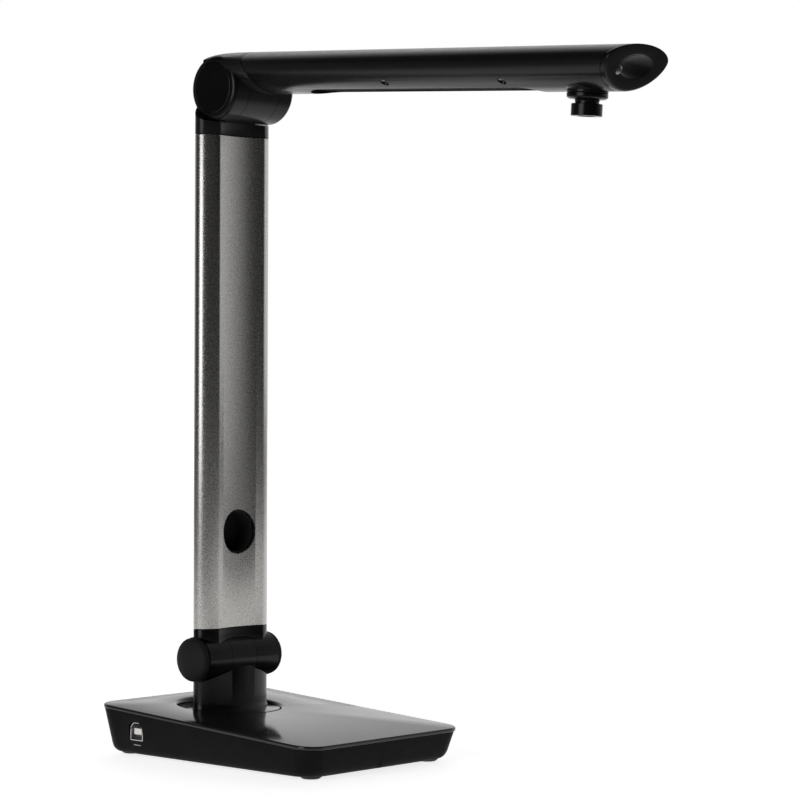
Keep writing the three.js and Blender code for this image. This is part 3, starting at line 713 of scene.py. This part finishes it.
def lower_collar():
    z = AXIS_LOW.z
    loops = [column_loop(inset, level) for inset, level in
             ((0, z), (0, COLLAR_HIGH_Z - 0.2), (0.05, COLLAR_HIGH_Z - 0.06), (0.2, COLLAR_HIGH_Z))]
    body = rings("collar", loops, DEVICE)
    turn = DEVICE @ along_y(AXIS_LOW.x, z)
    lobe = span("lower_hinge_cap_left")[0].y - GAP
    combine(body, rod("barrel", LOWER_BARREL, -lobe, lobe, turn, 160), "UNION")
    combine(body, rod("slot", LOWER_BARREL + GAP, -LOWER_TONGUE - GAP, LOWER_TONGUE + GAP, turn, 160))
    bevel(body, 0.3, 3, 40)
    place(body, "column", "satin_black", SATIN, "lower_collar", "lower_hinge_washer_left",
          "lower_hinge_washer_right")


def lower_caps():
    for name, side in (("left", 1), ("right", -1)):
        low, high = span(f"lower_hinge_cap_{name}")
        inner, outer = sorted((abs(low.y), abs(high.y)))
        radius = (high.z - low.z) / 2
        profile = [(0, inner), *soften([(radius - 1.2, inner), (radius, inner), (radius, inner + 1.7)], 0.35)]
        shoulder = inner + 1.7
        for k in range(1, 20):
            a = math.pi / 2 * k / 20
            profile.append((radius * math.cos(a), shoulder + (outer - shoulder) * math.sin(a)))
        profile.append((0, outer))
        cap = lathe(f"hinge_dome_{name}", profile, DEVICE @ along_y(AXIS_LOW.x, AXIS_LOW.z, side), 128)
        crease(cap, 40)
        place(cap, "column", "soft_black", SOFT, f"lower_hinge_cap_{name}")


def top_cap():
    low = COLUMN_HIGH.z + GAP
    high = AXIS_UP.z - 7
    loops = [column_loop(inset, z) for inset, z in
             ((0.2, low), (0.05, low + 0.06), (0, low + 0.2), (0, high))]
    body = rings("column_cap", loops, DEVICE)
    turn = DEVICE @ along_y(0, AXIS_UP.z)
    for start, end in ((UPPER_TONGUE, 40), (-40, -UPPER_TONGUE)):
        combine(body, rod("saddle", SADDLE, start, end, turn, 180))
    combine(body, rod("tongue", UPPER_BARREL, -UPPER_TONGUE, UPPER_TONGUE, turn, 180), "UNION")
    bevel(body, 0.35, 3, 40)
    place(body, "column", "satin_black", SATIN, "top_cap", "upper_hinge_shaft")


# ---------- Arm ----------
def oval(angle, inset=0.0):
    """A point on the arm's section: a half ellipse above the waist and a fuller curve below it."""
    y = math.cos(angle)
    if math.sin(angle) >= 0:
        z = (CROWN - inset) * math.sin(angle)
    else:
        z = -(BELLY - inset) * (1 - abs(y) ** BELLY_POWER) ** (1 / BELLY_POWER)
    return (ARM_HALF - inset) * y, WAIST + z


def seam_angle(inset, z):
    """How far below the waist the section reaches the given height."""
    drop = (WAIST - z) / (BELLY - inset)
    return math.acos((1 - drop ** BELLY_POWER) ** (1 / BELLY_POWER))


def end_at(z, back=0.0):
    """X of the slanted end face at a height, moved back along the face's normal."""
    return END_X + END_SLOPE * (z - END_Z) - back * math.hypot(1, END_SLOPE)


def shell_loop(start, end, inset, where):
    """One loop of a shell: along its outside from one seam to the other and back along its inside."""
    steps = 72
    outer = [oval(start(inset) + (end(inset) - start(inset)) * k / steps, inset) for k in range(steps + 1)]
    first, last = end(ARM_WALL), start(ARM_WALL)
    inner = [oval(first + (last - first) * k / steps, ARM_WALL) for k in range(steps + 1)]
    return [(where(z), y, z) for y, z in outer + inner]


def arm_shell(name, start, end):
    def head(step):
        return lambda z: math.sqrt((ROOT + GAP) ** 2 - z * z) + step

    def tail(step):
        return lambda z: end_at(z, END_CAP + 0.06) - step * 0.5

    loops = [shell_loop(start, end, inset, where) for inset, where in
             ((0.28, head(0)), (0.07, head(0.08)), (0, head(0.28)), (0, tail(0.28)), (0.07, tail(0.08)),
              (0.28, tail(0)))]
    return rings(name, loops, ARM)


def arm_shells():
    upper = SEAM + 0.05
    lower = SEAM - 0.05
    top = arm_shell("arm_top", lambda i: -seam_angle(i, upper), lambda i: math.pi + seam_angle(i, upper))
    crease(top, 28)
    place(top, "arm", "satin_black", SATIN, "arm_upper_shell")

    belly = arm_shell("arm_underside", lambda i: math.pi + seam_angle(i, lower),
                      lambda i: 2 * math.pi - seam_angle(i, lower))
    combine(belly, rings("strip_slot", [strip_loop(GAP, z) for z in (-8, 3)], ARM))
    for x in SCREW_X:
        for y in (-SCREW_Y, SCREW_Y):
            combine(belly, rod("screw_well", 2.3, -6, 5.5, ARM @ Matrix.Translation((x, y, 0)), 40))
    combine(belly, rod("head_hole", 8.3, -8, 6, ARM @ Matrix.Translation((HEAD_X, 0, 0)), 96))
    crease(belly, 28)
    place(belly, "arm", "satin_black", SATIN, "arm_lower_cover")


def strip_loop(grow, z):
    """The long pocket in the underside, with drawn-out round ends."""
    ends = [(ARM.inverted() @ corner).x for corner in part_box("underside_strip")]
    loop = []
    for x, turn in ((max(ends) - STRIP_ROUND, -0.5), (min(ends) + STRIP_ROUND, 0.5)):
        for k in range(25):
            a = math.pi * (turn + k / 24)
            loop.append((x + (STRIP_ROUND + grow) * math.cos(a), (STRIP_HALF + grow) * math.sin(a), z))
    return loop


def underside_strip():
    loops = [strip_loop(grow, z) for grow, z in ((-0.9, 0.1), (-0.3, 0), (-0.05, 0.1), (0, 0.4), (0, 1.4))]
    strip = rings("grip_strip", loops, ARM)
    crease(strip, 40)
    place(strip, "arm", "gloss_black", MATT, "underside_strip")


def knuckle():
    steps = 144
    section = [oval(2 * math.pi * k / steps) for k in range(steps)]
    hood = rings("knuckle", [[(x, y, z) for y, z in section] for x in (-22, 32)], ARM)
    top = WAIST + CROWN
    first, last = math.asin(-3 / ROOT), math.asin(top / ROOT)
    turns = [first + (last - first) * k / 40 for k in range(41)]
    outline = [(ROOT * math.cos(a), ROOT * math.sin(a)) for a in turns]
    start = Vector(outline[-1])
    knots = (start, Vector((4, 19.9)), Vector((-3, 19.6)), Vector((-8.6, 14.8)))
    for k in range(1, 25):
        t = k / 24
        outline.append(tuple(knots[0] * (1 - t) ** 3 + knots[1] * 3 * t * (1 - t) ** 2
                             + knots[2] * 3 * t * t * (1 - t) + knots[3] * t ** 3))
    outline += [(0, 0), (0, -3)]
    side = rings("knuckle_side", [[(x, y, z) for x, z in outline] for y in (-40, 40)], ARM)
    combine(hood, side, "INTERSECT")
    turn = ARM @ along_y(0, 0)
    seat = disc_radius() + 0.2
    combine(hood, rod("barrel", UPPER_BARREL, -UPPER_LOBE, UPPER_LOBE, turn, 180), "UNION")
    ring = soften([(0, UPPER_LOBE - 0.5), (UPPER_BARREL, UPPER_LOBE - 0.5), (UPPER_BARREL, UPPER_LOBE + 0.3),
                   (UPPER_BARREL - 0.8, END_RING - 0.7), (UPPER_BARREL - 2.3, END_RING), (0, END_RING)], 0.8)
    for side in (1, -1):
        combine(hood, lathe("end_ring", ring, ARM @ along_y(0, 0, side), 180), "UNION")
        combine(hood, rod("disc_seat", seat, UPPER_LOBE, 40, ARM @ along_y(0, 0, side), 180))
    reach = UPPER_TONGUE + GAP
    combine(hood, rod("slot", UPPER_BARREL + GAP, -reach, reach, turn, 180))
    bevel(hood, 0.3, 3, 38)
    place(hood, "arm", "satin_black", SATIN, "arm_knuckle", "upper_hinge_washer_left",
          "upper_hinge_washer_right")


def disc_radius():
    low, high = span("upper_hinge_disc_left")
    return (high.z - low.z) / 2


def hinge_discs():
    for name, side in (("left", 1), ("right", -1)):
        inner, outer = UPPER_LOBE + 0.15, max(abs(corner.y) for corner in span(f"upper_hinge_disc_{name}"))
        disc = rod(f"hinge_disc_{name}", disc_radius(), inner, outer, ARM @ along_y(0, 0, side), 160)
        bevel(disc, 0.7, 4)
        place(disc, "arm", "satin_black", SATIN, f"upper_hinge_disc_{name}")


def face_point(y, s, out):
    """A point by its place on the slanted end face: across, up along the face, and out of it."""
    length = math.hypot(1, END_SLOPE)
    along = Vector((END_SLOPE, 0, 1)) / length
    normal = Vector((1, 0, -END_SLOPE)) / length
    return Vector((END_X, y, END_Z)) + along * s + normal * out


def end_cap():
    steps = 144

    def outline(inset, out):
        loop = []
        for k in range(steps):
            y, z = oval(2 * math.pi * k / steps, inset)
            x = end_at(z, -out)
            loop.append((x, y, z))
        return loop

    def dish(share, depth):
        turns = [2 * math.pi * k / steps for k in range(steps)]
        length, width = DISH_LENGTH * share, DISH_WIDTH * share
        return [face_point(length * math.cos(a), width * math.sin(a) + 0.6, -depth) for a in turns]

    loops = [outline(0.3, -END_CAP), outline(0, -END_CAP + 0.3), outline(0, -0.9), outline(0.08, -0.45),
             outline(0.3, -0.16), outline(0.65, -0.03), outline(1.1, 0)]
    edge, lip = 0.88, 0.55
    loops += [dish(share, depth) for share, depth in ((1.06, 0), (1.0, 0.06), (0.94, 0.25), (edge, lip))]
    loops += [dish(share, lip + (DISH_DEPTH - lip) * (1 - (share / edge) ** 2))
              for share in (0.74, 0.58, 0.4, 0.22, 0.05)]
    cap = rings("arm_end", loops, ARM)
    crease(cap, 35)
    place(cap, "arm", "satin_black", SATIN, "end_cap")


def status_light():
    low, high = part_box("status_light")
    spot = ARM.inverted() @ ((low + high) / 2)
    s = (spot.z - END_Z) * math.hypot(1, END_SLOPE)
    centre = face_point(spot.y, s, 0)
    profile = [(0, -2.4), (BEAD_RADIUS, -2.4), (BEAD_RADIUS, -1.0)]
    for k in range(1, 8):
        a = math.pi / 2 * k / 8
        profile.append((BEAD_RADIUS * math.cos(a), -1.0 + 1.7 * math.sin(a)))
    profile.append((0, 0.7))
    tilt = Matrix.Rotation(math.pi / 2 + math.atan(END_SLOPE), 4, "Y")
    bead = lathe("status_bead", profile, ARM @ Matrix.Translation(centre) @ tilt, 48)
    crease(bead, 40)
    place(bead, "arm", "light", BEAD, "status_light")


def screws():
    """A countersunk head with a cross recess, and its shank, at each CAD screw."""
    names = [(f"bottom_screw_{k}", "base", DEVICE, 2.5) for k in range(1, 5)]
    names += [(f"arm_screw_{k}", "arm", ARM, 1.95) for k in range(1, 5)]
    for node, body, space, radius in names:
        low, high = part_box(node)
        middle = space.inverted() @ ((low + high) / 2)
        bottom = (space.inverted() @ low).z if body == "base" else 2.75
        spot = space @ Matrix.Translation((middle.x, middle.y, bottom))
        profile = soften([(0, 0), (radius * 0.7, 0.03), (radius, 0.25), (radius, 0.7), (radius * 0.45, 1.2),
                          (radius * 0.45, 6), (0, 6)], 0.12, 2)
        head = lathe(f"{node}_head", profile, spot, 40)
        for turn in (0, math.pi / 2):
            arm = space @ Matrix.Translation((middle.x, middle.y, bottom)) @ Matrix.Rotation(turn, 4, "Z")
            combine(head, box("recess", (-radius * 0.62, -0.28, -1), (radius * 0.62, 0.28, 0.5), arm))
        crease(head, 35)
        place(head, body, "dark_steel", DARK_STEEL, node)


# ---------- Camera head ----------
def grip_loop(radius, z):
    """A loop round the focus ring, with fine grooves where the fingers hold it."""
    count = 192
    grooved = radius > FOCUS_RING - 0.05 and -12.9 < z < -8.4
    loop = []
    for k in range(count):
        a = 2 * math.pi * k / count
        reach = radius - (0.12 if grooved and k % 4 > 1 else 0)
        loop.append((reach * math.cos(a), reach * math.sin(a), z))
    return loop


def camera_head():
    spot = ARM @ Matrix.Translation((HEAD_X, 0, 0))
    collar = lathe("head_collar", [(0, 1.2), *soften([(HEAD_RING + 2.4, 1.2), (HEAD_RING + 1.4, -0.2),
                                                     (HEAD_RING + 0.2, -0.8), (HEAD_RING, -1.6),
                                                     (HEAD_RING, -2.62), (9.0, -2.62)], 0.7, 5), (0, -2.62)],
                   spot, 128)
    crease(collar, 40)
    place(collar, "arm", "satin_black", SATIN)
    profile = [(0, -2.68), *soften([(HEAD_RING - 0.6, -2.68), (HEAD_RING, -2.75), (HEAD_RING, -4.7),
                                    (HEAD_RING - 1.3, -5.6), (HEAD_NECK + 0.3, -5.75), (HEAD_NECK, -6.6),
                                    (HEAD_NECK, HEAD_TIP), (LENS_BORE + 0.1, HEAD_TIP)], 0.5, 5)]
    profile += [(LENS_BORE, HEAD_TIP + 0.1), (LENS_BORE, -10.2), (0, -10.2)]
    head = lathe("head_ring", profile, spot, 128)
    crease(head, 40)
    place(head, "camera_head", "satin_black", SATIN, "camera_head")

    outer = soften([(FOCUS_BORE, -7.75), (FOCUS_RING, -7.75), (FOCUS_RING, -13.7), (FOCUS_LIP + 0.3, -13.7),
                    (FOCUS_LIP, -13.3), (FOCUS_LIP, -12.7), (FOCUS_BORE, -12.7)], 0.35, 4)
    ring = rings("focus_grip", [grip_loop(radius, z) for radius, z in outer], spot, closed=True)
    crease(ring, 35)
    place(ring, "focus_ring", "satin_black", SATIN, "focus_ring")

    radius = LENS_BORE - 0.05
    dome = [(0, -12.5)]
    for k in range(1, 9):
        a = math.pi / 2 * k / 8
        dome.append((radius * math.sin(a), -11.1 - 1.4 * math.cos(a)))
    dome += [(radius, -10.3), (0, -10.3)]
    lens = lathe("lens", dome, spot, 64)
    crease(lens, 40)
    place(lens, "camera_head", "glass", LENS, "lens_glass")


def hidden_parts():
    """CAD nodes whose shape is right as it is, deep inside the housing, get their finish here."""
    finishes = {"ballast_plate": DARK_STEEL, "main_board": BOARD, "sensor_board": BOARD,
                "swivel_washer": NYLON, "swivel_retainer": STEEL}
    for node, material in finishes.items():
        piece = frame["nodes"][node]
        piece.data.materials.clear()
        piece.data.materials.append(material)
        if node != "sensor_board":
            edge = piece.modifiers.new("edge", "BEVEL")
            edge.width = 0.2 * MM
            edge.segments = 2
            edge.limit_method = "ANGLE"


# ---------- Stage ----------
FLOOR_HALF = 6000


def camera():
    azimuth, pitch, roll = math.radians(42.42), math.radians(0.64), math.radians(0.24)
    distance = 1.4859
    aim = Vector((UPPER.x + 0.0631, 0.0576, 0.1905))
    level = math.cos(pitch)
    back = Vector((math.sin(azimuth) * level, -math.cos(azimuth) * level, math.sin(pitch)))
    data = bpy.data.cameras.new("camera")
    data.lens = 123.76
    data.sensor_width = 36
    data.clip_start, data.clip_end = 0.05, 50
    view = bpy.data.objects.new("camera", data)
    bpy.context.scene.collection.objects.link(view)
    turn = (-back).to_track_quat("-Z", "Y").to_matrix().to_4x4()
    view.matrix_world = Matrix.Translation(aim + back * distance) @ turn @ Matrix.Rotation(roll, 4, "Z")
    bpy.context.scene.camera = view


def area_light(name, place_at, aim, size, power):
    data = bpy.data.lights.new(name, "AREA")
    data.shape = "RECTANGLE"
    data.size, data.size_y = size
    data.energy = power
    light = bpy.data.objects.new(name, data)
    bpy.context.scene.collection.objects.link(light)
    light.location = place_at
    light.rotation_euler = (Vector(aim) - Vector(place_at)).to_track_quat("-Z", "Y").to_euler()


def pale_floor():
    """A pale floor that glows behind the object and around it, and less in front and far to the sides."""
    m = Nodes("pale_floor")
    shade = m.noise(6, 3)
    m.link(m.blend(shade, (0.7, 0.7, 0.7), (0.73, 0.73, 0.73)), m.shader.inputs["Base Color"])
    m.shader.inputs["Roughness"].default_value = 0.7
    m.shader.inputs["Emission Color"].default_value = (1, 1, 1, 1)
    behind = m.add("ShaderNodeVectorMath", operation="DOT_PRODUCT")
    behind.inputs[1].default_value = (-0.674, 0.738, 0)
    m.link(m.coordinates, behind.inputs[0])
    across = m.add("ShaderNodeVectorMath", operation="DOT_PRODUCT")
    across.inputs[1].default_value = (0.738, 0.674, 0)
    m.link(m.coordinates, across.inputs[0])
    aside = m.add("ShaderNodeMath", operation="ABSOLUTE")
    m.link(across.outputs["Value"], aside.inputs[0])
    glow = m.add("ShaderNodeMath", operation="MULTIPLY")
    m.link(m.remap(behind.outputs["Value"], 0.0, 0.8, -0.3, -0.12), glow.inputs[0])
    spread = m.add("ShaderNodeMath", operation="MULTIPLY_ADD")
    spread.inputs[1].default_value = -0.25
    m.link(behind.outputs["Value"], spread.inputs[0])
    m.link(aside.outputs[0], spread.inputs[2])
    m.link(m.remap(spread.outputs[0], 1.0, 0.0, 0.3, 0.6), glow.inputs[1])
    m.link(glow.outputs[0], m.shader.inputs["Emission Strength"])
    floor = box("floor", (-FLOOR_HALF, -FLOOR_HALF, -20), (FLOOR_HALF, FLOOR_HALF, -0.2), Matrix.Scale(MM, 4))
    floor.data.materials.append(m.material)


def surroundings():
    """A white backdrop for the camera, and for everything else a room that is bright low down behind."""
    world = bpy.data.worlds.new("studio")
    bpy.context.scene.world = world
    world.use_nodes = True
    tree = world.node_tree
    background = tree.nodes["Background"]
    direction = tree.nodes.new("ShaderNodeTexCoord").outputs["Generated"]
    split = tree.nodes.new("ShaderNodeVectorMath")
    split.operation = "DOT_PRODUCT"
    split.inputs[1].default_value = (-0.42, 0.9, -0.4)
    tree.links.new(direction, split.inputs[0])
    ramp = tree.nodes.new("ShaderNodeMapRange")
    ramp.inputs["From Min"].default_value = -0.1
    ramp.inputs["From Max"].default_value = 0.95
    ramp.inputs["To Min"].default_value = 0.05
    ramp.inputs["To Max"].default_value = 1.0
    tree.links.new(split.outputs["Value"], ramp.inputs["Value"])
    rays = tree.nodes.new("ShaderNodeLightPath")
    pick = tree.nodes.new("ShaderNodeMix")
    pick.inputs[3].default_value = 1.0
    tree.links.new(rays.outputs["Is Camera Ray"], pick.inputs[0])
    tree.links.new(ramp.outputs["Result"], pick.inputs[2])
    tree.links.new(pick.outputs[0], background.inputs["Strength"])
    background.inputs["Color"].default_value = (1, 1, 1, 1)


def studio():
    pale_floor()
    surroundings()
    area_light("key", (0.1, -1.3, 1.6), (0, 0, 0.25), (0.9, 0.9), 1.2)
    area_light("softbox", (0.03, -1.45, 0.35), (-0.1, 0, 0.25), (0.8, 1.1), 9)
    bpy.context.scene.view_settings.view_transform = "Standard"


base_walls()
base_lid()
bottom_cover()
feet()
socket()
turntable()
post()
column()
lower_collar()
lower_caps()
top_cap()
arm_shells()
underside_strip()
knuckle()
hinge_discs()
end_cap()
status_light()
screws()
camera_head()
hidden_parts()
camera()
studio()
